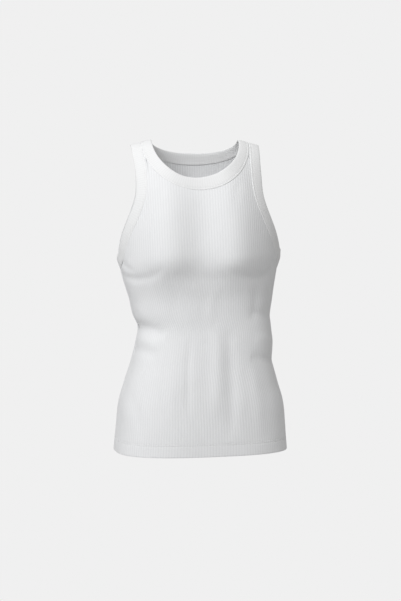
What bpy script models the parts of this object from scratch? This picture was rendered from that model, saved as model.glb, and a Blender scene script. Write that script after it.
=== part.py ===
"""A fitted high-neck tank top in fine rib knit, standing open as it does when it is worn.

It is cut and sewn from five pieces: front, back, neck band and two arm bands. Each is a closed
solid: the panels are single walls of cloth with a turned-up hem, and the bands are strips folded
double round the neck and the armholes. Neck, hem and armholes are open.

Frame: +Z up, the front faces -Y and the wearer's right side is at -X. The origin lies midway
between the two shoulder seams, where the wearer's shoulders hold the garment up.
Sizes are in millimetres and are turned into metres where the meshes are made.
"""

import math
from collections import namedtuple

import bmesh
import bpy
import numpy as np

MILLIMETRE = 0.001
FRONT, BACK = -1, 1

# Cloth and making.
WALL = 1.2
SEAM_GAP = 0.3
HEM_TURN_UP = 25.0
HEM_STEP = 1.0
BAND_PROUD = 0.5
BAND_THICK = 2.4
NECK_BAND_WIDTH = 22.0
ARM_BAND_WIDTH = 20.5
SHOULDER_BAND_WIDTH = 17.5
SHOULDER_REACH = 60.0
LEFT_FRONT_EXTRA = 4.0

# Heights below the shoulder seams, and where the shoulders lie.
HEM_LEVEL = -558.0
UNDERARM_LEVEL = -228.0
BUST_LEVEL = -205.0
RIDGE_Y = 5.0
RIDGE_HEIGHT = 28.0
RIDGE_FALL = 0.28
RIDGE_ROUNDING = 30.0
ARCH_LENGTH = 235.0
ARCH_POWER = {FRONT: 1.7, BACK: 2.3}

# How boxy a level section is: 2 is an ellipse.
SECTION_POWER = 2.7

# Level sections of the torso: where the two sides lie, how deep the front and the back are, and
# how far the section is turned, in degrees, towards the wearer's left.
Section = namedtuple("Section", "height right_side left_side front back turn")
SECTIONS = (
    Section(-558, -147, 168, 104, 112, 10),
    Section(-506, -142, 164, 103, 110, 10),
    Section(-470, -138, 160, 101, 105, 9),
    Section(-430, -127, 149, 97, 96, 8),
    Section(-397, -116, 140, 93, 88, 6),
    Section(-360, -107, 140, 89, 81, 4.5),
    Section(-331, -104, 137.5, 87, 78, 3.5),
    Section(-313, -112, 136, 88, 79, 3),
    Section(-280, -120, 140, 91, 83, 2),
    Section(-258, -127, 143, 95, 87, 1),
    Section(-237, -133, 146.5, 98, 91, 0.5),
    Section(-222, -135.5, 149, 100, 94, 0),
    Section(-205, -136, 150.5, 101, 96, 0),
)

# The bust's fullness, which the cut of the front gives.
CUP_FULLNESS = 21.0
CUP_SPACING = 62.0
CUP_SPREAD = 50.0
CUP_FALL = 42.0

# The neck seam: half an ellipse on each panel.
NECK_HALF_WIDTH = 95.5
NECK_DEPTH = {FRONT: 86.0, BACK: 38.0}

# The armhole seams, from the underarm to the shoulder: how far round each panel they lie, where 0
# is the panel's centre line and 1 its side seam. The wearer's right strap is drawn in a little more.
Armhole = namedtuple("Armhole", "height right_front left_front back")
ARMHOLE = (
    Armhole(-228, 1.0, 1.0, 1.0),
    Armhole(-224, 0.920, 0.920, 0.920),
    Armhole(-217, 0.858, 0.858, 0.856),
    Armhole(-207, 0.800, 0.800, 0.790),
    Armhole(-193, 0.733, 0.735, 0.716),
    Armhole(-174, 0.650, 0.656, 0.625),
    Armhole(-144, 0.522, 0.537, 0.490),
    Armhole(-114, 0.428, 0.448, 0.400),
    Armhole(-86, 0.380, 0.407, 0.353),
    Armhole(-50, 0.374, 0.399, 0.350),
    Armhole(-17, 0.402, 0.410, 0.388),
)
ARMHOLE_AT_SHOULDER = 0.421
ARMHOLE_CENTRE = (170.0, 0.0, -110.0)
NECK_CENTRE = (0.0, -10.0, 40.0)
UNDERARM_FLARE = math.radians(10)
FLARE_TOP = -120.0

# How finely the cloth is divided.
COLUMNS = 12
BODY_ROWS = 14
CHEST_ROWS = 20
CENTRE_ROWS = 8
SEAM_SAMPLES = 400

WHITE_RIB = (0.86, 0.87, 0.88, 1.0)
WHITE_BAND = (0.88, 0.88, 0.89, 1.0)


def smooth(x, y, at):
    """A soft curve through the points (x, y), read at one or more values of x."""
    x, y, at = np.asarray(x, float), np.asarray(y, float), np.asarray(at, float)
    slope = np.gradient(y, x)
    i = np.clip(np.searchsorted(x, at) - 1, 0, len(x) - 2)
    step = x[i + 1] - x[i]
    t = np.clip((at - x[i]) / step, 0, 1)
    start = y[i] * (1 + 2 * t) * (1 - t) ** 2 + slope[i] * step * t * (1 - t) ** 2
    end = y[i + 1] * (3 - 2 * t) * t**2 + slope[i + 1] * step * t**2 * (t - 1)
    return start + end


def column(table, name, at):
    """A named column of a table, read at a height."""
    return smooth([row.height for row in table], [getattr(row, name) for row in table], at)


def power(value, exponent):
    """value to a power, keeping its sign."""
    return np.sign(value) * np.abs(value) ** exponent


def ridge(x):
    """The height of the shoulders' ridge above a place x."""
    return RIDGE_HEIGHT - RIDGE_FALL * np.hypot(x, RIDGE_ROUNDING)


def cups(x, height):
    """How far the bust lifts the front at a place."""
    across = sum(np.exp(-(((x - side * CUP_SPACING) / CUP_SPREAD) ** 2)) for side in (-1, 1))
    return CUP_FULLNESS * across * np.exp(-((np.minimum(height - BUST_LEVEL, 0) / CUP_FALL) ** 2))


def torso(around, path, side):
    """Points on the cloth's outer face.

    around is 0 on the panel's centre line and -1 or 1 on its side seams. path is the height up to
    the bust and, above it, the length of the way up and over to the shoulder's ridge.
    """
    around, path = np.broadcast_arrays(np.asarray(around, float), np.asarray(path, float))
    level = np.minimum(path, BUST_LEVEL)
    right, left = (column(SECTIONS, name, level) for name in ("right_side", "left_side"))
    centre, half = (left + right) / 2, (left - right) / 2
    angle = around * math.pi / 2
    x = half * power(np.sin(angle), 2 / SECTION_POWER)
    depth = column(SECTIONS, "front" if side == FRONT else "back", level)
    y = side * depth * np.abs(np.cos(angle)) ** (2 / SECTION_POWER)
    if side == FRONT:
        y = y - cups(x, level) * np.abs(np.cos(angle)) ** (2 / SECTION_POWER)
    lift = np.clip((path - BUST_LEVEL) / ARCH_LENGTH, 0, 1) * math.pi / 2
    rise = np.sin(lift) ** (2 / ARCH_POWER[side])
    fall = np.abs(np.cos(lift)) ** (2 / ARCH_POWER[side])
    y = RIDGE_Y * (1 - fall) + y * fall + side * SEAM_GAP / 2
    z = level + (ridge(x) - BUST_LEVEL) * rise
    turn = np.radians(column(SECTIONS, "turn", level))
    turned_x = x * np.cos(turn) - y * np.sin(turn)
    turned_y = x * np.sin(turn) + y * np.cos(turn)
    return np.stack([turned_x + centre * (1 - rise), turned_y, z], axis=-1)


def outward(around, path, side):
    """The cloth's outward normals, from small steps in from the panel's edges."""
    step = 1e-3
    inward = np.where(np.asarray(around) > 0, -step, step)
    here = torso(around, path, side)
    across = (torso(around + inward, path, side) - here) * np.sign(inward)[..., None]
    up = here - torso(around, path - step, side)
    normal = np.cross(across, up) * -side
    return normal / np.linalg.norm(normal, axis=-1, keepdims=True)


def on_panel(x, z, side):
    """The (around, path) of a place above the bust, given as it is seen from the front."""
    right, left = (column(SECTIONS, name, BUST_LEVEL) for name in ("right_side", "left_side"))
    centre, half = (left + right) / 2, (left - right) / 2
    rise = np.clip((z - BUST_LEVEL) / (ridge(x) - BUST_LEVEL), 0, 1)
    lift = np.arcsin(rise ** (ARCH_POWER[side] / 2))
    around = np.arcsin(power(np.clip(x / half, -1, 1), SECTION_POWER / 2)) * 2 / math.pi
    return np.stack([around, BUST_LEVEL + ARCH_LENGTH * lift * 2 / math.pi], axis=-1)


def evenly(places, side, count):
    """count places, evenly spaced over the cloth, along a curve of (around, path) places."""
    steps = np.linalg.norm(np.diff(torso(places[:, 0], places[:, 1], side), axis=0), axis=1)
    along = np.concatenate([[0], np.cumsum(steps)])
    at = np.linspace(0, along[-1], count)
    return np.stack([np.interp(at, along, places[:, k]) for k in range(2)], axis=-1)


def armhole_seam(side, arm):
    """An armhole seam from the underarm to the shoulder: arm is -1 for the wearer's right."""
    name = "back" if side == BACK else "right_front" if arm < 0 else "left_front"
    rounds = np.array([getattr(row, name) for row in ARMHOLE])
    heights = np.array([row.height for row in ARMHOLE], float)
    half = (column(SECTIONS, "left_side", BUST_LEVEL) - column(SECTIONS, "right_side", BUST_LEVEL)) / 2
    x = half * power(np.sin(rounds * math.pi / 2), 2 / SECTION_POWER)
    paths = np.where(heights > BUST_LEVEL, on_panel(x, heights, side)[:, 1], heights)
    rounds = np.append(rounds, ARMHOLE_AT_SHOULDER)
    paths = np.append(paths, BUST_LEVEL + ARCH_LENGTH)
    knots = np.arange(len(rounds))
    fine = np.linspace(0, knots[-1], SEAM_SAMPLES)
    curve = np.stack([arm * smooth(knots, rounds, fine), smooth(knots, paths, fine)], axis=-1)
    return evenly(curve, side, CHEST_ROWS + 1)


def neck_seam(side, arm):
    """The neck seam, from the centre line to one shoulder: arm is -1 for the wearer's right."""
    angle = np.linspace(math.pi / 2, 0, SEAM_SAMPLES)
    top = ridge(NECK_HALF_WIDTH)
    x = arm * NECK_HALF_WIDTH * np.cos(angle)
    z = top - (top + NECK_DEPTH[side]) * np.sin(angle)
    return evenly(on_panel(x, z, side), side, CHEST_ROWS - CENTRE_ROWS + 1)


def chest_half(side, arm):
    """Half of a panel from the underarm up, as rows from the centre or the neck to the armhole."""
    u = np.linspace(0, 1, COLUMNS + 1)[None, :, None]
    r = np.linspace(0, 1, CHEST_ROWS + 1)[:, None, None]
    armhole, neck = armhole_seam(side, arm), neck_seam(side, arm)
    rise = np.linspace(UNDERARM_LEVEL, neck[0, 1], CENTRE_ROWS + 1)[:-1]
    inner = np.concatenate([np.stack([0 * rise, rise], axis=-1), neck])
    bottom = np.stack([arm * u[0, :, 0], np.full(COLUMNS + 1, UNDERARM_LEVEL)], axis=-1)
    top = neck[-1] + (armhole[-1] - neck[-1]) * u[0]
    blend = (1 - r) * bottom + r * top + (1 - u) * inner[:, None] + u * armhole[:, None]
    low, high = (1 - u) * inner[0] + u * armhole[0], (1 - u) * inner[-1] + u * armhole[-1]
    return blend - (1 - r) * low - r * high


def panel_rows(side):
    """Every place of a panel, as rows from the hem up that run from one edge to the other."""
    turn_up = HEM_LEVEL + HEM_TURN_UP
    heights = [HEM_LEVEL, turn_up, turn_up + HEM_STEP]
    heights += list(np.linspace(turn_up, UNDERARM_LEVEL, BODY_ROWS)[1:-1])
    around = np.linspace(-1, 1, 2 * COLUMNS + 1)
    rows = [np.stack([around, np.full(len(around), height)], axis=-1) for height in heights]
    for i, (right, left) in enumerate(zip(chest_half(side, -1), chest_half(side, 1))):
        rows.append(np.concatenate([right[::-1], left[1:] if i <= CENTRE_ROWS else left]))
    return rows


def add_piece(name, points, faces, colour):
    """A closed piece of cloth, from points in millimetres."""
    mesh = bpy.data.meshes.new(name)
    mesh.from_pydata((np.asarray(points) * MILLIMETRE).tolist(), [], faces)
    shape = bmesh.new()
    shape.from_mesh(mesh)
    bmesh.ops.recalc_face_normals(shape, faces=shape.faces)
    shape.to_mesh(mesh)
    shape.free()
    mesh.shade_smooth()
    material = bpy.data.materials.new(name)
    material.use_nodes = True
    shader = material.node_tree.nodes["Principled BSDF"]
    shader.inputs["Base Color"].default_value = colour
    shader.inputs["Roughness"].default_value = 0.85
    shader.inputs["Metallic"].default_value = 0.0
    mesh.materials.append(material)
    piece = bpy.data.objects.new(name, mesh)
    bpy.context.scene.collection.objects.link(piece)
    return piece


def sheet_faces(rows):
    """The faces between rows of a panel, parted at the neck."""
    starts = np.concatenate([[0], np.cumsum([len(row) for row in rows])])
    faces = []
    for i in range(len(rows) - 1):
        for side_columns in (range(COLUMNS), range(COLUMNS, 2 * COLUMNS)):
            for j in side_columns:
                low, high = (
                    starts[k] + j + (1 if j >= COLUMNS and len(rows[k]) > 2 * COLUMNS + 1 else 0)
                    for k in (i, i + 1)
                )
                faces.append((low, low + 1, high + 1, high))
    return [tuple(int(corner) for corner in face) for face in faces]


def add_panel(name, side):
    """The front or the back: a wall of cloth that is doubled at the hem."""
    rows = panel_rows(side)
    around, path = np.concatenate(rows).T
    outer = torso(around, path, side)
    thickness = np.where(path <= HEM_LEVEL + HEM_TURN_UP, 2 * WALL, WALL)[:, None]
    inner = outer - outward(around, path, side) * thickness
    behind = len(outer)
    sheet = sheet_faces(rows)
    edges = [pair for face in sheet for pair in zip(face, face[1:] + face[:1])]
    inside = set(edges)
    rim = [(b, a, a + behind, b + behind) for a, b in edges if (b, a) not in inside]
    lining = [tuple(corner + behind for corner in reversed(face)) for face in sheet]
    return add_piece(name, np.concatenate([outer, inner]), sheet + lining + rim, WHITE_RIB)


def ring_of_seam(front, back):
    """The points and normals of a closed seam, from its front part and its back part."""
    back = back[::-1]
    parts = []
    for place in (torso, outward):
        ahead, behind = place(*front.T, FRONT), place(*back.T, BACK)
        first, last = (ahead[0] + behind[-1]) / 2, (ahead[-1] + behind[0]) / 2
        parts.append(np.concatenate([[first], ahead[1:-1], [last], behind[1:-1]]))
    return parts


def add_band(name, seam, normals, opening, widths, flares):
    """A strip folded double, sewn to a closed seam and reaching towards the opening inside it."""
    ahead = np.roll(seam, -1, axis=0) - seam
    ahead /= np.linalg.norm(ahead, axis=1)[:, None]
    towards = np.cross(ahead + np.roll(ahead, 1, axis=0), normals)
    towards *= np.sign(np.sum(towards * (np.asarray(opening) - seam), axis=1))[:, None]
    towards /= np.linalg.norm(towards, axis=1)[:, None]
    normals = normals / np.linalg.norm(normals, axis=1)[:, None]
    reach = towards * np.cos(flares)[:, None] + normals * np.sin(flares)[:, None]
    off = normals * np.cos(flares)[:, None] - towards * np.sin(flares)[:, None]
    inside = BAND_PROUD - BAND_THICK
    fold = BAND_THICK / 2
    middle = (BAND_PROUD + inside) / 2
    section = (
        (0.0, 0.0, BAND_PROUD),
        (0.5, 0.0, BAND_PROUD),
        (1.0, -fold, BAND_PROUD),
        (1.0, 0.0, middle),
        (1.0, -fold, inside),
        (0.5, 0.0, inside),
        (0.0, 0.0, inside),
    )
    start = seam + towards * SEAM_GAP
    points = [
        start + reach * (share * widths + extra)[:, None] + off * level
        for share, extra, level in section
    ]
    count = len(seam)
    faces = []
    for k in range(len(section)):
        above = (k + 1) % len(section)
        for i in range(count):
            after = (i + 1) % count
            faces.append((k * count + i, k * count + after, above * count + after, above * count + i))
    return add_piece(name, np.concatenate(points), faces, WHITE_BAND)


def add_neck_band():
    """The neck band, narrower where it is stretched over the shoulders, wider at the left front."""
    whole = [
        np.concatenate([neck_seam(side, -1)[:0:-1], neck_seam(side, 1)]) for side in (FRONT, BACK)
    ]
    seam, normals = ring_of_seam(*whole)
    across = np.clip(seam[:, 0] / NECK_HALF_WIDTH, -1, 1)
    widths = SHOULDER_BAND_WIDTH + (NECK_BAND_WIDTH - SHOULDER_BAND_WIDTH) * np.sqrt(1 - np.abs(across))
    left_front = np.clip(across, 0, 1) * (seam[:, 1] < 0)
    widths = widths + LEFT_FRONT_EXTRA * np.sin(left_front * math.pi)
    add_band("neck_band", seam, normals, NECK_CENTRE, widths, np.zeros(len(seam)))


def add_arm_band(name, arm):
    """An arm band, which flares a little at the underarm."""
    seam, normals = ring_of_seam(armhole_seam(FRONT, arm), armhole_seam(BACK, arm))
    low = np.clip((FLARE_TOP - seam[:, 2]) / (FLARE_TOP - UNDERARM_LEVEL), 0, 1)
    high = np.clip(1 + seam[:, 2] / SHOULDER_REACH, 0, 1)
    widths = ARM_BAND_WIDTH + (SHOULDER_BAND_WIDTH - ARM_BAND_WIDTH) * high
    opening = np.array(ARMHOLE_CENTRE) * [arm, 1, 1]
    add_band(name, seam, normals, opening, widths, UNDERARM_FLARE * low**2)


def main():
    for item in list(bpy.data.objects):
        bpy.data.objects.remove(item, do_unlink=True)
    add_panel("front", FRONT)
    add_panel("back", BACK)
    add_neck_band()
    add_arm_band("armband_right", -1)
    add_arm_band("armband_left", 1)


main()
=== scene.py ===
"""The looks of a fitted high-neck tank top in fine white rib knit, filled out as it is when worn.

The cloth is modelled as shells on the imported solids' form. The front and back panels have ribs
and creases in relief and a thicker wall where the hem is turned up. Each band is one solid strip
that stands for rib folded double, with one row of stitching.
Sizes are in millimetres in the garment's frame and become metres where the meshes are made.
"""

import math
from collections import namedtuple

import bpy
import numpy as np
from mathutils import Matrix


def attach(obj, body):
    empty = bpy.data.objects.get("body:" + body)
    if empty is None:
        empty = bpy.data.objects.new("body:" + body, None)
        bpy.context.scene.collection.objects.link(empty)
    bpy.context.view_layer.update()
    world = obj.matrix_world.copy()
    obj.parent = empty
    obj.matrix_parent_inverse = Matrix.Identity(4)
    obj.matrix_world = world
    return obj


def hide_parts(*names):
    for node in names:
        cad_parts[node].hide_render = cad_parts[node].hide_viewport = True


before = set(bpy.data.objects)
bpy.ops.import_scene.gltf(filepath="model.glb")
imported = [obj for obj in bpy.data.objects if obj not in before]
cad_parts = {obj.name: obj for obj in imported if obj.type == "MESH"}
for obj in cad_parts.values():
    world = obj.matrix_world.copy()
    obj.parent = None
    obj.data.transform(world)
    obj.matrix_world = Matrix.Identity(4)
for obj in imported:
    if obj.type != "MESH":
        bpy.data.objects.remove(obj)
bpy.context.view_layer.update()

MILLIMETRE = 0.001
FRONT, BACK = -1, 1

# Cutting and sewing.
WALL = 1.1
HEM_TURN_UP = 25.0
NEEDLE_ROWS = (20.5, 23.5)
NECK_BAND_WIDTH = 22.0
ARM_BAND_WIDTH = 20.5
SHOULDER_BAND_WIDTH = 17.5
SHOULDER_REACH = 60.0
LEFT_FRONT_EXTRA = 4.0
TUCK = 1.6

# Heights below the shoulder seams, and where the shoulders lie.
HEM_LEVEL = -558.0
UNDERARM_LEVEL = -228.0
BUST_LEVEL = -205.0
RIDGE_Y = 5.0
RIDGE_HEIGHT = 28.0
RIDGE_FALL = 0.28
RIDGE_ROUNDING = 30.0
ARCH_LENGTH = 235.0
ARCH_POWER = {FRONT: 1.7, BACK: 2.3}
SHOULDER = BUST_LEVEL + ARCH_LENGTH
SECTION_POWER = 2.7

# Level sections: the two sides, the depths of front and back, and the turn to the wearer's left.
Section = namedtuple("Section", "height right_side left_side front back turn")
SECTIONS = (
    Section(-558, -147, 168, 104, 112, 10),
    Section(-506, -142, 164, 103, 110, 10),
    Section(-470, -138, 160, 101, 105, 9),
    Section(-430, -127, 149, 97, 96, 8),
    Section(-397, -116, 140, 93, 88, 6),
    Section(-360, -107, 140, 89, 81, 4.5),
    Section(-331, -104, 137.5, 87, 78, 3.5),
    Section(-313, -112, 136, 88, 79, 3),
    Section(-280, -120, 140, 91, 83, 2),
    Section(-258, -127, 143, 95, 87, 1),
    Section(-237, -133, 146.5, 98, 91, 0.5),
    Section(-222, -135.5, 149, 100, 94, 0),
    Section(-205, -136, 150.5, 101, 96, 0),
)

# The bust's fullness, which the cut of the front gives.
CUP_FULLNESS = 21.0
CUP_SPACING = 62.0
CUP_SPREAD = 50.0
CUP_FALL = 42.0

# The neck seam, and the armhole seams by how far round each panel they lie.
NECK_HALF_WIDTH = 95.5
NECK_DEPTH = {FRONT: 86.0, BACK: 38.0}
Armhole = namedtuple("Armhole", "height right_front left_front back")
ARMHOLE = (
    Armhole(-228, 1.0, 1.0, 1.0),
    Armhole(-224, 0.920, 0.920, 0.920),
    Armhole(-217, 0.858, 0.858, 0.856),
    Armhole(-207, 0.800, 0.800, 0.790),
    Armhole(-193, 0.733, 0.735, 0.716),
    Armhole(-174, 0.650, 0.656, 0.625),
    Armhole(-144, 0.522, 0.537, 0.490),
    Armhole(-114, 0.428, 0.448, 0.400),
    Armhole(-86, 0.380, 0.407, 0.353),
    Armhole(-50, 0.374, 0.399, 0.350),
    Armhole(-17, 0.402, 0.410, 0.388),
)
ARMHOLE_AT_SHOULDER = 0.421
ARMHOLE_CENTRE = (170.0, 0.0, -110.0)
NECK_CENTRE = (0.0, -10.0, 40.0)
UNDERARM_FLARE = math.radians(10)
FLARE_TOP = -120.0
STRAP_START = BUST_LEVEL + 118.0
SEAM_SAMPLES = 600

# The knit.
RIBS = 88
STEPS_PER_RIB = 4
RIB_PITCH = 4.7
RIB_HEIGHT = 0.13
BAND_RIB_HEIGHT = 0.05
INNER_RIB_SHARE = 0.6
HEM_RIB_LOSS = 0.4
HEM_PROUD = 0.25

# How cloth edges round off and how far the needle rows pull in, each with its reach.
EDGE_ROLL = 0.55
EDGE_ROLL_REACH = 1.2
HEM_ROUND = 0.75
HEM_ROUND_REACH = 0.45
HEM_ROUND_INSIDE = 1.3
NEEDLE_PULL = 0.5
NEEDLE_PULL_REACH = 0.8

# The mesh's rows, and the places along the bands and the hem rows.
HEM_ROWS = (0, 0.5, 1.4, 3, 6, 10, 14, 17.5, 19.4, 20.5, 21.3, 22.0, 22.7, 23.5, 24.6, 26, 29)
LEVEL_ROWS = 50
LEVEL_TOP = -300.0
FAN_ROWS = 40
STRAP_ROWS = 36
STRAP_DIP = 26.0
NECK_PLACES = 115
ARM_PLACES = 240
HEM_PLACES = 500
HEM_END = 0.995
ON_BAND_STITCHES = 2.1
WAVE_SHARE_ON_BANDS = 0.5
FADE_AT_ENDS = 0.75
WAVE_BEND = 1.3
WAVE_BEND_PER_Z = 0.7

# Creases: a soft ridge (height above 0) or trough from one place to another, seen from the front,
# with how far its middle bows sideways.
Crease = namedtuple("Crease", "x z to_x to_z width height bow")
FRONT_CREASES = (
    Crease(33, -330, 30, -485, 13, 2.4, 3),
    Crease(54, -340, 58, -520, 12, -2.6, 4),
    Crease(-14, -350, -18, -480, 7, -1.3, -2),
    Crease(-44, -360, -52, -500, 14, 1.0, 3),
    Crease(92, -380, 112, -520, 12, 1.4, 4),
    Crease(-140, -236, -62, -226, 7, -2.4, -13),
    Crease(58, -232, 138, -232, 8, -1.6, -10),
    Crease(-58, -240, 56, -240, 12, -0.8, -3),
    Crease(-112, -330, -58, -343, 9, -2.6, 3),
    Crease(-112, -352, -66, -366, 8, 1.5, 3),
    Crease(-114, -374, -74, -380, 8, -1.6, 3),
    Crease(142, -398, 96, -384, 10, -2.0, -3),
    Crease(140, -360, 104, -352, 9, 1.2, -3),
    Crease(138, -318, 96, -306, 9, -1.2, -3),
    Crease(-72, -62, -60, -98, 7, -1.1, 2),
    Crease(74, -70, 66, -112, 8, -0.8, -2),
    Crease(-140, -206, -112, -232, 5, -1.6, -3),
    Crease(146, -208, 118, -238, 6, -1.4, 3),
    Crease(-92, -250, -84, -318, 9, -1.0, -4),
    Crease(-40, -256, -46, -330, 10, -0.7, 3),
    Crease(30, -262, 22, -330, 9, 0.8, -3),
    Crease(104, -256, 96, -320, 10, -1.2, 4),
    Crease(0, -110, 2, -190, 22, -0.7, 2),
    Crease(-128, -440, -96, -520, 10, -1.0, 4),
)
BACK_CREASES = (
    Crease(-96, -300, 30, -322, 9, -2.2, -8),
    Crease(-70, -338, 84, -328, 10, 1.8, -9),
    Crease(112, -346, -20, -362, 9, -2.4, 8),
    Crease(-98, -372, 10, -384, 10, 1.3, -6),
    Crease(0, -130, 4, -280, 24, -2.0, 3),
    Crease(-78, -120, -52, -210, 14, 1.2, 6),
    Crease(76, -116, 54, -214, 14, 1.1, -6),
    Crease(-128, -236, -70, -262, 8, -1.6, -5),
    Crease(140, -234, 84, -266, 8, -1.8, 5),
    Crease(20, -400, 30, -520, 14, 1.6, 4),
    Crease(52, -396, 66, -530, 12, -1.8, -4),
    Crease(-46, -400, -60, -510, 13, -1.4, 4),
    Crease(-92, -420, -104, -520, 11, 1.0, -3),
)
WAVES = ((0.021, 0.043, 0.5, 0.25), (-0.047, 0.018, 2.1, 0.18), (0.083, -0.061, 4.0, 0.07))

# Camera, light and floor, in metres.
EYE_DISTANCE = 2.8
EYE_HEIGHT = -0.12
EYE_TURN = math.radians(-4)
AIM = (0.0106, 0.0, -0.287)
LENS = 92.3
BACKDROP = 0.871
FLOOR_LEVEL = -1.2
FLOOR_RADIUS = 1.1


# ---------------------------------------------------------------- form


def smooth(x, y, at):
    """A soft curve through the points (x, y), read at some values of x."""
    x, y, at = np.asarray(x, float), np.asarray(y, float), np.asarray(at, float)
    slope = np.gradient(y, x)
    i = np.clip(np.searchsorted(x, at) - 1, 0, len(x) - 2)
    step = x[i + 1] - x[i]
    t = np.clip((at - x[i]) / step, 0, 1)
    start = y[i] * (1 + 2 * t) * (1 - t) ** 2 + slope[i] * step * t * (1 - t) ** 2
    end = y[i + 1] * (3 - 2 * t) * t**2 + slope[i + 1] * step * t**2 * (t - 1)
    return start + end


def column(name, at):
    """A named column of the sections, read at a height."""
    return smooth([row.height for row in SECTIONS], [getattr(row, name) for row in SECTIONS], at)


def power(value, exponent):
    """value to a power, keeping its sign."""
    return np.sign(value) * np.abs(value) ** exponent


def ridge(x):
    """The height of the shoulders' ridge above a place x."""
    return RIDGE_HEIGHT - RIDGE_FALL * np.hypot(x, RIDGE_ROUNDING)


def cups(x, height):
    """How far the bust lifts the front at a place."""
    across = sum(np.exp(-(((x - side * CUP_SPACING) / CUP_SPREAD) ** 2)) for side in (-1, 1))
    return CUP_FULLNESS * across * np.exp(-((np.minimum(height - BUST_LEVEL, 0) / CUP_FALL) ** 2))


def torso(around, path, side):
    """Points on the cloth's outer face, by how far round and how far up they are."""
    around, path = np.broadcast_arrays(np.asarray(around, float), np.asarray(path, float))
    level = np.minimum(path, BUST_LEVEL)
    right, left = column("right_side", level), column("left_side", level)
    centre, half = (left + right) / 2, (left - right) / 2
    angle = around * math.pi / 2
    x = half * power(np.sin(angle), 2 / SECTION_POWER)
    fullness = np.abs(np.cos(angle)) ** (2 / SECTION_POWER)
    depth = column("front" if side == FRONT else "back", level)
    if side == FRONT:
        depth = depth + cups(x, level)
    lift = np.clip((path - BUST_LEVEL) / ARCH_LENGTH, 0, 1) * math.pi / 2
    rise = np.sin(lift) ** (2 / ARCH_POWER[side])
    fall = np.abs(np.cos(lift)) ** (2 / ARCH_POWER[side])
    y = RIDGE_Y * (1 - fall) + side * depth * fullness * fall
    z = level + (ridge(x) - BUST_LEVEL) * rise
    turn = np.radians(column("turn", level))
    turned_x = x * np.cos(turn) - y * np.sin(turn)
    turned_y = x * np.sin(turn) + y * np.cos(turn)
    return np.stack([turned_x + centre * (1 - rise), turned_y, z], axis=-1)


def outward(around, path, side):
    """The cloth's outward normals."""
    step = 1e-3
    inward = np.where(np.asarray(around) > 0, -step, step)
    here = torso(around, path, side)
    across = (torso(around + inward, path, side) - here) * np.sign(inward)[..., None]
    up = here - torso(around, path - step, side)
    normal = np.cross(across, up) * -side
    return normal / np.linalg.norm(normal, axis=-1, keepdims=True)


def on_panel(x, z, side):
    """The (around, path) of a place above the bust, given as it is seen from the front."""
    half = (column("left_side", BUST_LEVEL) - column("right_side", BUST_LEVEL)) / 2
    rise = np.clip((z - BUST_LEVEL) / (ridge(x) - BUST_LEVEL), 0, 1)
    lift = np.arcsin(rise ** (ARCH_POWER[side] / 2))
    around = np.arcsin(power(np.clip(x / half, -1, 1), SECTION_POWER / 2)) * 2 / math.pi
    return np.stack([around, BUST_LEVEL + ARCH_LENGTH * lift * 2 / math.pi], axis=-1)


def evenly(places, side, count):
    """count places, evenly spaced over the cloth, along a curve of (around, path) places."""
    steps = np.linalg.norm(np.diff(torso(*places.T, side), axis=0), axis=1)
    along = np.concatenate([[0], np.cumsum(steps)])
    at = np.linspace(0, along[-1], count)
    return np.stack([np.interp(at, along, places[:, k]) for k in range(2)], axis=-1)


def armhole_seam(side, arm, count=SEAM_SAMPLES):
    """An armhole seam from the underarm to the shoulder: arm is -1 for the wearer's right."""
    name = "back" if side == BACK else "right_front" if arm < 0 else "left_front"
    rounds = np.array([getattr(row, name) for row in ARMHOLE])
    heights = np.array([row.height for row in ARMHOLE], float)
    half = (column("left_side", BUST_LEVEL) - column("right_side", BUST_LEVEL)) / 2
    x = half * power(np.sin(rounds * math.pi / 2), 2 / SECTION_POWER)
    paths = np.where(heights > BUST_LEVEL, on_panel(x, heights, side)[:, 1], heights)
    rounds = np.append(rounds, ARMHOLE_AT_SHOULDER)
    paths = np.append(paths, SHOULDER)
    knots = np.arange(len(rounds))
    fine = np.linspace(0, knots[-1], SEAM_SAMPLES)
    curve = np.stack([arm * smooth(knots, rounds, fine), smooth(knots, paths, fine)], axis=-1)
    return evenly(curve, side, count)


def neck_seam(side, arm, count=SEAM_SAMPLES):
    """The neck seam, from the centre line to one shoulder: arm is -1 for the wearer's right."""
    angle = np.linspace(math.pi / 2, 0, SEAM_SAMPLES)
    top = ridge(NECK_HALF_WIDTH)
    x = arm * NECK_HALF_WIDTH * np.cos(angle)
    z = top - (top + NECK_DEPTH[side]) * np.sin(angle)
    return evenly(on_panel(x, z, side), side, count)


def creased(x, z, creases):
    """How far the creases and the cloth's slight waviness lift it at places seen from the front."""
    lift = np.zeros_like(x)
    for c in creases:
        run = np.array([c.to_x - c.x, c.to_z - c.z], float)
        length = np.hypot(*run)
        along = ((x - c.x) * run[0] + (z - c.z) * run[1]) / length**2
        beside = ((x - c.x) * -run[1] + (z - c.z) * run[0]) / length
        beside = beside - c.bow * 4 * along * (1 - along)
        past = np.maximum(np.abs(along - 0.5) - 0.5, 0) * length
        fade = np.clip(1 - np.abs(2 * along - 1) ** 3 * FADE_AT_ENDS, 0, 1)
        fade = fade * np.exp(-((past / c.width) ** 2))
        lift += c.height * fade * np.exp(-((beside / c.width) ** 2))
    for per_x, per_z, start, height in WAVES:
        bend = WAVE_BEND * np.sin(z * per_x * WAVE_BEND_PER_Z + start)
        lift += height * np.sin(x * per_x + z * per_z + start + bend)
    return lift


# ---------------------------------------------------------------- meshes


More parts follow.
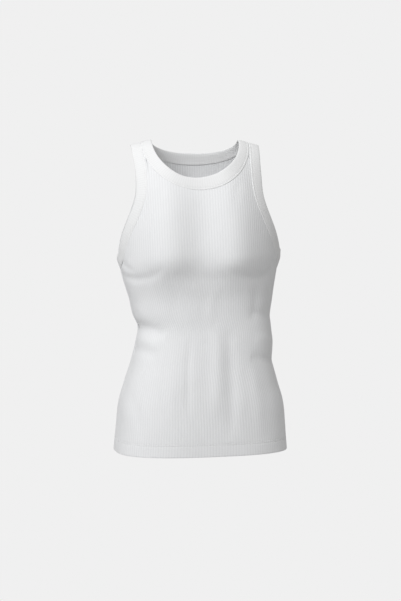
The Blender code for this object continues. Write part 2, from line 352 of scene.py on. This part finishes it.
def add_mesh(name, points, faces, material, uv=None):
    """A smooth-shaded piece from points in millimetres, with its knit coordinates as a UV map."""
    mesh = bpy.data.meshes.new(name)
    mesh.from_pydata((np.asarray(points) * MILLIMETRE).tolist(), [], faces)
    if uv is not None:
        layer = mesh.uv_layers.new(name="knit")
        corners = np.zeros(len(mesh.loops), np.int32)
        mesh.loops.foreach_get("vertex_index", corners)
        layer.uv.foreach_set("vector", np.asarray(uv, np.float32)[corners].ravel())
    mesh.shade_smooth()
    mesh.materials.append(material)
    piece = bpy.data.objects.new(name, mesh)
    bpy.context.scene.collection.objects.link(piece)
    return piece


def wale_places(side):
    """How far round each column of the knit lies, with even ribs over the bust."""
    fine = np.linspace(-1, 1, 2001)
    steps = np.linalg.norm(np.diff(torso(fine, BUST_LEVEL, side), axis=0), axis=1)
    along = np.concatenate([[0], np.cumsum(steps)])
    return np.interp(np.linspace(0, along[-1], RIBS * STEPS_PER_RIB + 1), along, fine)


class PanelPlan:
    """Where a panel's columns run and end: on the armhole seams, the shoulders or the neck seam."""

    def __init__(self, side):
        self.side = side
        self.arms = {}
        for arm in (-1, 1):
            around, path = armhole_seam(side, arm).T
            strap = np.interp(STRAP_START, path, np.abs(around))
            neck_around, neck_path = neck_seam(side, arm).T
            drawn = np.interp(neck_path, path, np.abs(around)) / strap
            neck = np.abs(neck_around) / np.where(neck_path > STRAP_START, drawn, 1)
            self.arms[arm] = (np.abs(around), path, strap, neck, neck_path)

    def strap(self, arm):
        return self.arms[arm][2]

    def top(self, wale, arm):
        """Where columns end."""
        around, path, strap, neck, neck_path = self.arms[arm]
        below = path <= STRAP_START
        at_armhole = np.interp(wale, around[below][::-1], path[below][::-1])
        at_neck = np.interp(wale, neck, neck_path)
        return np.where(wale > strap, at_armhole, np.where(wale > neck[-1], SHOULDER, at_neck))

    def base(self, wale, arm):
        """Where the strap rows start, or the column's end outside the strap."""
        strap = self.strap(arm)
        dipped = STRAP_START - STRAP_DIP * np.cos(np.clip(wale / strap, 0, 1) * math.pi / 2)
        return np.where(wale > strap, self.top(wale, arm), dipped)

    def around(self, wale, path, arm):
        """How far round a place of a column lies: straps lean, and their columns with them."""
        around, seam_path, strap, _, _ = self.arms[arm]
        drawn = np.interp(path, seam_path, around) / strap
        return arm * wale * np.where(path > STRAP_START, drawn, 1)


def add_panel(name, side, material):
    """The front or the back: a wall of rib knit, doubled and stitched at its hem."""
    plan = PanelPlan(side)
    wales = wale_places(side)
    arms = np.where(wales < 0, -1, 1)
    for arm in (-1, 1):
        nearest = np.argmin(np.abs(wales - arm * plan.strap(arm)))
        wales[nearest] = arm * plan.strap(arm)
    size = np.abs(wales)
    count = len(wales)
    base = np.where(arms < 0, plan.base(size, -1), plan.base(size, 1))
    top = np.where(arms < 0, plan.top(size, -1), plan.top(size, 1))
    in_strap = np.where(arms < 0, size <= plan.strap(-1) + 1e-9, size <= plan.strap(1) + 1e-9)
    hem = HEM_LEVEL + np.array(HEM_ROWS, float)
    levels = np.linspace(hem[-1], LEVEL_TOP, LEVEL_ROWS + 1)[1:]
    rows = [np.full(count, height) for height in (*hem, *levels)]
    rows += [LEVEL_TOP + (base - LEVEL_TOP) * k / FAN_ROWS for k in range(1, FAN_ROWS + 1)]
    strap_rows = [base + (top - base) * k / STRAP_ROWS for k in range(1, STRAP_ROWS + 1)]
    columns = np.arange(count)
    kept = columns[in_strap]
    path = np.concatenate([*rows, *(row[kept] for row in strap_rows)])
    number = np.concatenate([*(columns for _ in rows), *(kept for _ in strap_rows)])
    wale, arm = size[number], arms[number]
    around = np.where(arm < 0, plan.around(wale, path, -1), plan.around(wale, path, 1))
    body = torso(around, path, side)
    normal = outward(around, path, side)
    crease = creased(body[:, 0], body[:, 2], FRONT_CREASES if side == FRONT else BACK_CREASES)
    edge = np.minimum(number, count - 1 - number)
    rolled = EDGE_ROLL * np.exp(-edge / EDGE_ROLL_REACH)
    rolled = rolled + EDGE_ROLL * np.exp(-(SHOULDER - path) / EDGE_ROLL_REACH)
    low = path - HEM_LEVEL
    rounded = HEM_ROUND * np.exp(-low / HEM_ROUND_REACH)
    pulled = sum(
        NEEDLE_PULL * np.exp(-(((low - row) / NEEDLE_PULL_REACH) ** 2)) for row in NEEDLE_ROWS
    )
    doubled = 0.5 - 0.5 * np.tanh(low - HEM_TURN_UP)
    rib = RIB_HEIGHT * np.cos(2 * math.pi * number / STEPS_PER_RIB)
    rib = rib * (1 - HEM_RIB_LOSS * doubled)
    lifted = crease + rib - rolled - rounded - pulled + HEM_PROUD * doubled
    outer = body + normal * lifted[:, None]
    thick = WALL * (1 + doubled) - rounded * HEM_ROUND_INSIDE
    inner = body + normal * (crease - rib * INNER_RIB_SHARE - thick)[:, None]
    behind = len(outer)
    starts = np.arange(len(rows)) * count
    faces = [
        (int(low_row + j), int(low_row + j + 1), int(high_row + j + 1), int(high_row + j))
        for low_row, high_row in zip(starts, starts[1:])
        for j in range(count - 1)
    ]
    first = int(kept[0])
    parted = len(kept)
    strap_starts = [starts[-1] + first]
    strap_starts += [len(rows) * count + k * parted for k in range(STRAP_ROWS)]
    faces += [
        (int(low_row + j), int(low_row + j + 1), int(high_row + j + 1), int(high_row + j))
        for low_row, high_row in zip(strap_starts, strap_starts[1:])
        for j in range(parted - 1)
    ]
    edges = [pair for face in faces for pair in zip(face, face[1:] + face[:1])]
    inside = set(edges)
    rim = [(b, a, a + behind, b + behind) for a, b in edges if (b, a) not in inside]
    lining = [tuple(corner + behind for corner in reversed(face)) for face in faces]
    uv = np.stack([number / STEPS_PER_RIB, (path - HEM_LEVEL) / RIB_PITCH], axis=-1)
    every = faces + lining + rim
    if side == BACK:
        every = [face[::-1] for face in every]
    return add_mesh(name, np.concatenate([outer, inner]), every, material, np.concatenate([uv, uv]))


def ring_of_seam(front, back):
    """The points and normals of a closed seam, from its front part and its back part."""
    back = back[::-1]
    parts = []
    for place in (torso, outward):
        ahead, behind = place(*front.T, FRONT), place(*back.T, BACK)
        first, last = (ahead[0] + behind[-1]) / 2, (ahead[-1] + behind[0]) / 2
        parts.append(np.concatenate([[first], ahead[1:-1], [last], behind[1:-1]]))
    return parts


def closed_lengths(points):
    """How far along a closed line each point lies, and the whole length."""
    steps = np.linalg.norm(np.roll(points, -1, axis=0) - points, axis=1)
    return np.concatenate([[0], np.cumsum(steps)[:-1]]), steps.sum()


class Band:
    """A strip folded double, sewn to a closed seam and reaching towards the opening inside it."""

    def __init__(self, seam, normals, opening, widths, flares):
        ahead = np.roll(seam, -1, axis=0) - seam
        ahead /= np.linalg.norm(ahead, axis=1)[:, None]
        self.normals = normals / np.linalg.norm(normals, axis=1)[:, None]
        towards = np.cross(ahead + np.roll(ahead, 1, axis=0), self.normals)
        towards *= np.sign(np.sum(towards * (np.asarray(opening) - seam), axis=1))[:, None]
        towards /= np.linalg.norm(towards, axis=1)[:, None]
        cos, sin = np.cos(flares)[:, None], np.sin(flares)[:, None]
        self.reach = towards * cos + self.normals * sin
        self.off = self.normals * cos - towards * sin
        self.seam, self.widths = seam, widths
        self.waves = creased(seam[:, 0], seam[:, 2], ()) * WAVE_SHARE_ON_BANDS

    def at(self, share, extra, level):
        """A line on the band: at a share of its width plus extra millimetres, and a height."""
        beyond = (share * self.widths + extra)[:, None]
        return self.seam + self.reach * beyond + self.off * (level + self.waves)[:, None]


# The band's section, once round: share of the width, extra millimetres, height, and how far the
# ribs show there.
BAND_SECTION = (
    (0.0, -TUCK, 0.30, 0.0),
    (0.0, -TUCK * 0.55, 0.62, 0.3),
    (0.0, 0.0, 0.78, 0.8),
    (0.0, 1.3, 0.66, 0.8),
    (0.0, 2.1, 0.42, 0.4),
    (0.0, 2.9, 0.66, 0.8),
    (0.25, 0.0, 0.84, 1.0),
    (0.45, 0.0, 0.92, 1.0),
    (0.65, 0.0, 0.88, 1.0),
    (0.85, 0.0, 0.74, 1.0),
    (1.0, -0.9, 0.45, 0.8),
    (1.0, -0.25, 0.0, 0.4),
    (1.0, 0.0, -0.55, 0.2),
    (1.0, -0.3, -1.1, 0.4),
    (1.0, -1.1, -1.5, 0.8),
    (0.7, 0.0, -1.7, 1.0),
    (0.4, 0.0, -1.75, 1.0),
    (0.0, 3.0, -1.65, 0.8),
    (0.0, 0.5, -1.9, 0.4),
    (0.0, -TUCK, -1.6, 0.0),
)


def add_band(name, band, material):
    """A band as one solid strip with a rounded edge, its ribs running across it."""
    count = len(band.seam)
    along, length = closed_lengths(band.seam)
    wave = np.cos(2 * math.pi * np.round(length / RIB_PITCH) * along / length) * BAND_RIB_HEIGHT
    points, uv = [], []
    for share, extra, level, ribbed in BAND_SECTION:
        side = 1 if level > -0.5 else -1
        points.append(band.at(share, extra, level + side * wave * ribbed))
        uv.append(np.stack([along / RIB_PITCH, (share * band.widths + extra) / RIB_PITCH], axis=-1))
    faces = []
    for k in range(len(BAND_SECTION)):
        above = (k + 1) % len(BAND_SECTION)
        for i in range(count):
            after = (i + 1) % count
            low, high = k * count, above * count
            faces.append((low + i, low + after, high + after, high + i))
    piece = add_mesh(name, np.concatenate(points), faces, material, np.concatenate(uv))
    face_outwards(piece)
    return piece


def face_outwards(piece):
    """Turns a closed piece's faces outwards."""
    mesh = piece.data
    volume = 0.0
    places = np.array([vertex.co for vertex in mesh.vertices])
    for face in mesh.polygons:
        corners = places[list(face.vertices)]
        volume += np.dot(corners[0], np.cross(corners[1], corners[2]))
        volume += np.dot(corners[0], np.cross(corners[2], corners[-1]))
    if volume < 0:
        mesh.flip_normals()


def neck_band():
    """The neck band, narrower over the shoulders and wider at the wearer's left front."""
    parts = [
        np.concatenate([neck_seam(side, -1, NECK_PLACES)[:0:-1], neck_seam(side, 1, NECK_PLACES)])
        for side in (FRONT, BACK)
    ]
    seam, normals = ring_of_seam(*parts)
    across = np.clip(seam[:, 0] / NECK_HALF_WIDTH, -1, 1)
    wider = (NECK_BAND_WIDTH - SHOULDER_BAND_WIDTH) * np.sqrt(1 - np.abs(across))
    widths = SHOULDER_BAND_WIDTH + wider
    left_front = np.clip(across, 0, 1) * (seam[:, 1] < 0)
    widths = widths + LEFT_FRONT_EXTRA * np.sin(left_front * math.pi)
    return Band(seam, normals, NECK_CENTRE, widths, np.zeros(len(seam)))


def arm_band(arm):
    """An arm band, which flares a little at the underarm."""
    parts = [armhole_seam(side, arm, ARM_PLACES) for side in (FRONT, BACK)]
    seam, normals = ring_of_seam(*parts)
    low = np.clip((FLARE_TOP - seam[:, 2]) / (FLARE_TOP - UNDERARM_LEVEL), 0, 1)
    high = np.clip(1 + seam[:, 2] / SHOULDER_REACH, 0, 1)
    widths = ARM_BAND_WIDTH + (SHOULDER_BAND_WIDTH - ARM_BAND_WIDTH) * high
    opening = np.array(ARMHOLE_CENTRE) * [arm, 1, 1]
    return Band(seam, normals, opening, widths, UNDERARM_FLARE * low**2)


# ---------------------------------------------------------------- stitches


STITCH_PITCH = 3.0
STITCH_SHARE = 0.72
THREAD = 0.22
THREAD_SIDES = 5

# Along one stitch: how far, how thick the thread is there, and how far it is lifted.
STITCH_STATIONS = (
    (0.0, 0.35, -0.22),
    (0.18, 1.0, 0.08),
    (0.5, 1.0, 0.14),
    (0.82, 1.0, 0.08),
    (1.0, 0.35, -0.22),
)


def add_stitches(name, lines, material):
    """Rows of topstitching along lines of (points, normals), as one joined piece."""
    points, faces = [], []
    turn = np.arange(THREAD_SIDES) * 2 * math.pi / THREAD_SIDES
    for line, normals in lines:
        along = np.concatenate([[0], np.cumsum(np.linalg.norm(np.diff(line, axis=0), axis=1))])
        for start in np.arange(0, along[-1] - STITCH_PITCH, STITCH_PITCH):
            at = start + STITCH_PITCH * STITCH_SHARE * np.array([s[0] for s in STITCH_STATIONS])
            centre = np.stack([np.interp(at, along, line[:, k]) for k in range(3)], axis=-1)
            off = np.stack([np.interp(at, along, normals[:, k]) for k in range(3)], axis=-1)
            off /= np.linalg.norm(off, axis=1)[:, None]
            ahead = centre[-1] - centre[0]
            ahead /= np.linalg.norm(ahead)
            across = np.cross(ahead, off)
            first = len(points)
            for k, (_, size, lifted) in enumerate(STITCH_STATIONS):
                for t in turn:
                    rim = np.cos(t) * across[k] + np.sin(t) * off[k]
                    points.append(centre[k] + off[k] * lifted + rim * THREAD * size)
            for k in range(len(STITCH_STATIONS) - 1):
                for i in range(THREAD_SIDES):
                    after = (i + 1) % THREAD_SIDES
                    low, high = first + k * THREAD_SIDES, first + (k + 1) * THREAD_SIDES
                    faces.append((low + i, low + after, high + after, high + i))
            faces.append(tuple(first + i for i in reversed(range(THREAD_SIDES))))
            last = first + (len(STITCH_STATIONS) - 1) * THREAD_SIDES
            faces.append(tuple(last + i for i in range(THREAD_SIDES)))
    return add_mesh(name, np.array(points), faces, material)


def hem_lines(side):
    """The two needle rows of a hem."""
    around = np.linspace(-HEM_END, HEM_END, HEM_PLACES)
    creases = FRONT_CREASES if side == FRONT else BACK_CREASES
    lines = []
    for row in NEEDLE_ROWS:
        body = torso(around, HEM_LEVEL + row, side)
        normal = outward(around, np.full(HEM_PLACES, HEM_LEVEL + row), side)
        crease = creased(body[:, 0], body[:, 2], creases)
        lines.append((body + normal * (crease + 0.05)[:, None], normal))
    return lines


def band_line(band):
    """The needle row of a band, just inside its seam."""
    line = band.at(0.0, ON_BAND_STITCHES, 0.55)
    return [(np.concatenate([line, line[:1]]), np.concatenate([band.off, band.off[:1]]))]


# ---------------------------------------------------------------- materials


class Value:
    """A shader socket that can be used in arithmetic."""

    def __init__(self, shader, socket):
        self.shader, self.socket = shader, socket

    def maths(self, operation, *others):
        inputs = dict(enumerate((self, *others)))
        return self.shader.value("ShaderNodeMath", {"operation": operation}, inputs)

    def __add__(self, other):
        return self.maths("ADD", other)

    def __sub__(self, other):
        return self.maths("SUBTRACT", other)

    def __rsub__(self, other):
        return Value.number(self.shader, other).maths("SUBTRACT", self)

    def __mul__(self, other):
        return self.maths("MULTIPLY", other)

    def __pow__(self, other):
        return self.maths("POWER", other)

    def __mod__(self, other):
        return self.maths("FLOORED_MODULO", other)

    def __abs__(self):
        return self.maths("ABSOLUTE")

    def cosine(self):
        return self.maths("COSINE")

    @staticmethod
    def number(shader, value):
        return shader.value("ShaderNodeMath", {"operation": "ADD"}, {0: value, 1: 0.0})

    __radd__ = __add__
    __rmul__ = __mul__


class Shader:
    """A material and the nodes it is made of."""

    def __init__(self, name):
        self.material = bpy.data.materials.new(name)
        self.material.use_nodes = True
        self.tree = self.material.node_tree
        self.principled = self.tree.nodes["Principled BSDF"]

    def node(self, kind, settings=None, inputs=None):
        made = self.tree.nodes.new(kind)
        for name, setting in (settings or {}).items():
            setattr(made, name, setting)
        for name, value in (inputs or {}).items():
            self.feed(made.inputs[name], value)
        return made

    def feed(self, socket, value):
        if isinstance(value, Value):
            self.tree.links.new(value.socket, socket)
        else:
            socket.default_value = value

    def value(self, kind, settings=None, inputs=None, output=0):
        return Value(self, self.node(kind, settings, inputs).outputs[output])

    def mix(self, factor, low, high):
        made = self.node("ShaderNodeMix", {"data_type": "RGBA"}, {0: factor, 6: low, 7: high})
        return Value(self, made.outputs[2])

    def finish(self, **inputs):
        for name, value in inputs.items():
            self.feed(self.principled.inputs[name.replace("_", " ")], value)
        return self.material


LOOPS_PER_RIB = 4.2
CHEVRON_SLANT = 2.4
CLOUD_SCALE = 26.0
FUZZ_SCALE = 1400.0
TWIST_SCALE = 900.0


def knit_material(name, light, shade, furrow_shade, stitch_depth):
    """White rib knit: rows of small chevron stitches on the ribs, with painted shade in the furrows
    between.
    """
    shader = Shader(name)
    place = shader.value("ShaderNodeUVMap", {"uv_map": "knit"})
    split = shader.node("ShaderNodeSeparateXYZ", None, {0: place})
    rib, course = (Value(shader, split.outputs[k]) for k in (0, 1))
    beside = abs((rib + 0.5) % 1 - 0.5)
    furrow = (0.5 - 0.5 * (beside * (2 * math.pi)).cosine()) ** 1.6
    chevron = course * LOOPS_PER_RIB + beside * CHEVRON_SLANT
    stitch = 0.5 + 0.5 * (chevron * (2 * math.pi)).cosine()
    body = shader.value("ShaderNodeTexCoord", None, None, 3)
    cloudy = shader.value(
        "ShaderNodeTexNoise", None, {"Vector": body, "Scale": CLOUD_SCALE, "Detail": 4.0}
    )
    fuzz = shader.value(
        "ShaderNodeTexNoise", None, {"Vector": body, "Scale": FUZZ_SCALE, "Detail": 2.0}
    )
    # Colour: painted shade darkens the furrows between the ribs, and the two noises add a random
    # mottle in tone.
    depth = furrow * furrow_shade + cloudy * 0.12 + fuzz * 0.10 - 0.11
    colour = shader.mix(depth, (*light, 1), (*shade, 1))
    height = stitch * (1 - furrow) * 0.6 + fuzz * 0.4
    bump = shader.value(
        "ShaderNodeBump", None, {"Strength": 0.5, "Distance": stitch_depth, "Height": height}
    )
    rough = 0.82 + furrow * 0.1
    shader.feed(shader.principled.inputs["Sheen Weight"], 0.12)
    shader.feed(shader.principled.inputs["Sheen Roughness"], 0.55)
    shader.feed(shader.principled.inputs["Specular IOR Level"], 0.25)
    return shader.finish(Base_Color=colour, Roughness=rough, Normal=bump)


def thread_material():
    """White sewing thread, a little glossier than the cloth, with its twist as fine bump."""
    shader = Shader("sewing_thread")
    body = shader.value("ShaderNodeTexCoord", None, None, 3)
    twist = shader.value(
        "ShaderNodeTexWave",
        {"bands_direction": "DIAGONAL"},
        {"Vector": body, "Scale": TWIST_SCALE, "Distortion": 1.0},
    )
    colour = shader.mix(twist * 0.3, (0.90, 0.90, 0.90, 1), (0.78, 0.78, 0.79, 1))
    bump = shader.value(
        "ShaderNodeBump", None, {"Strength": 0.3, "Distance": 0.00005, "Height": twist}
    )
    shader.feed(shader.principled.inputs["Sheen Weight"], 0.08)
    return shader.finish(Base_Color=colour, Roughness=0.62, Normal=bump)


def floor_material():
    """A plain pale matt floor."""
    shader = Shader("studio_floor")
    body = shader.value("ShaderNodeTexCoord", None, None, 3)
    cloudy = shader.value("ShaderNodeTexNoise", None, {"Vector": body, "Scale": 3.0})
    colour = shader.mix(cloudy * 0.2, (0.80, 0.80, 0.80, 1), (0.78, 0.78, 0.78, 1))
    return shader.finish(Base_Color=colour, Roughness=0.9)


# ---------------------------------------------------------------- studio


def aim(item, target):
    """Turns an item's -Z towards a target."""
    way = item.location - type(item.location)(target)
    item.rotation_euler = way.to_track_quat("Z", "Y").to_euler()


def add_camera():
    """The camera, a little below the shoulders and turned to the wearer's right."""
    data = bpy.data.cameras.new("camera")
    data.lens = LENS
    data.sensor_width = 36.0
    data.clip_end = 50.0
    camera = bpy.data.objects.new("camera", data)
    bpy.context.scene.collection.objects.link(camera)
    camera.location = (
        AIM[0] + EYE_DISTANCE * math.sin(EYE_TURN),
        -EYE_DISTANCE * math.cos(EYE_TURN),
        EYE_HEIGHT,
    )
    aim(camera, AIM)
    bpy.context.scene.camera = camera


Lamp = namedtuple("Lamp", "name x y z size power red green blue")
LAMPS = (
    Lamp("key", -1.7, -2.2, 1.65, 1.3, 62.0, 0.98, 0.99, 1.0),
    Lamp("front_fill", 0.3, -2.9, 0.9, 2.0, 7.0, 1.0, 0.995, 0.98),
)


def add_lights():
    """A large soft key from the wearer's right, a weak fill, and a pale surround."""
    for lamp in LAMPS:
        data = bpy.data.lights.new(lamp.name, "AREA")
        data.shape = "DISK"
        data.size = lamp.size
        data.energy = lamp.power
        data.color = (lamp.red, lamp.green, lamp.blue)
        item = bpy.data.objects.new(lamp.name, data)
        bpy.context.scene.collection.objects.link(item)
        item.location = (lamp.x, lamp.y, lamp.z)
        aim(item, (0.0, 0.0, -0.28))
    world = bpy.data.worlds.new("surround")
    bpy.context.scene.world = world
    world.use_nodes = True
    nodes, links = world.node_tree.nodes, world.node_tree.links
    lighting = nodes["Background"]
    seen = nodes.new("ShaderNodeBackground")
    seen.inputs["Color"].default_value = (BACKDROP, BACKDROP, BACKDROP, 1)
    place = nodes.new("ShaderNodeTexCoord")
    split = nodes.new("ShaderNodeSeparateXYZ")
    ramp = nodes.new("ShaderNodeMapRange")
    ramp.inputs["From Min"].default_value = -1.0
    ramp.inputs["To Min"].default_value = 0.12
    ramp.inputs["To Max"].default_value = 0.55
    links.new(place.outputs["Generated"], split.inputs[0])
    links.new(split.outputs["Z"], ramp.inputs["Value"])
    links.new(ramp.outputs[0], lighting.inputs["Strength"])
    lighting.inputs["Color"].default_value = (1.0, 0.995, 0.985, 1)
    rays = nodes.new("ShaderNodeLightPath")
    choose = nodes.new("ShaderNodeMixShader")
    links.new(rays.outputs["Is Camera Ray"], choose.inputs[0])
    links.new(lighting.outputs[0], choose.inputs[1])
    links.new(seen.outputs[0], choose.inputs[2])
    links.new(choose.outputs[0], nodes["World Output"].inputs["Surface"])


def add_floor():
    """A round pale floor, well below the garment."""
    turn = np.linspace(0, 2 * math.pi, 97)[:-1]
    rim = np.stack([np.cos(turn), np.sin(turn), 0 * turn], axis=-1) * FLOOR_RADIUS / MILLIMETRE
    rim[:, 2] = FLOOR_LEVEL / MILLIMETRE
    floor = add_mesh("floor", rim, [tuple(range(len(turn)))], floor_material())


# ---------------------------------------------------------------- the garment


def main():
    add_camera()
    add_lights()
    add_floor()
    # The third number of each knit sets how strongly painted shade darkens the rib furrows.
    cloth = knit_material("rib_knit", (0.90, 0.905, 0.915), (0.62, 0.625, 0.63), 0.20, 0.0002)
    folded = knit_material("band_rib_knit", (0.91, 0.912, 0.915), (0.70, 0.70, 0.70), 0.16, 0.00015)
    thread = thread_material()

    panels = {
        "front": add_panel("front_cloth", FRONT, cloth),
        "back": add_panel("back_cloth", BACK, cloth),
    }
    bands = {
        "neck_band": neck_band(),
        "armband_right": arm_band(-1),
        "armband_left": arm_band(1),
    }
    for node, side in (("front", FRONT), ("back", BACK)):
        stitches = add_stitches(f"{node}_hem_stitches", hem_lines(side), thread)
        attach(panels[node], "root")
        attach(stitches, "root")
        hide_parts(node)
    for node, band in bands.items():
        strip = add_band(f"{node}_cloth", band, folded)
        stitches = add_stitches(f"{node}_stitches", band_line(band), thread)
        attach(strip, "root")
        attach(stitches, "root")
        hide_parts(node)
    bpy.context.scene.view_settings.view_transform = "Standard"


main()
